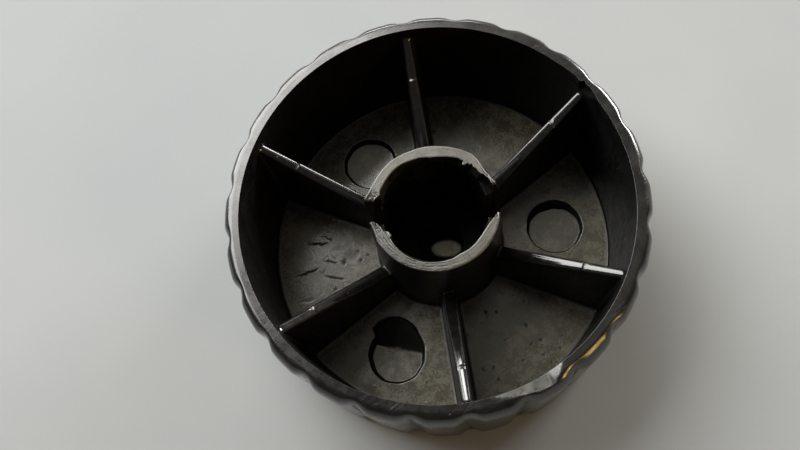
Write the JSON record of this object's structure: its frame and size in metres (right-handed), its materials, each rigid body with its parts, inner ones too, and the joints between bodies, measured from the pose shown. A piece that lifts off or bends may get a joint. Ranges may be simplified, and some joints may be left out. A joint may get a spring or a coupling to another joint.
{
  "type": "steam control knob",
  "caption": "Round black plastic control knob lying face down: fluted grip wall, open back with radial ribs and a cracked central socket hub.",
  "frame": {"origin": "centre of the plain front face, on the knob's axis; the knob lies on this face", "axes": "+Z along the knob's axis, from the front face out of the open back; +X along the rib whose wall end is chipped"},
  "size_m": [0.0568, 0.0568, 0.023],
  "materials": {
    "black_plastic": "semi-gloss moulded black, scuffed, lighter on the broken collar and the rim's edge"
  },
  "bodies": {
    "root": {"knob_body": "black_plastic"}
  },
  "joints": []
}
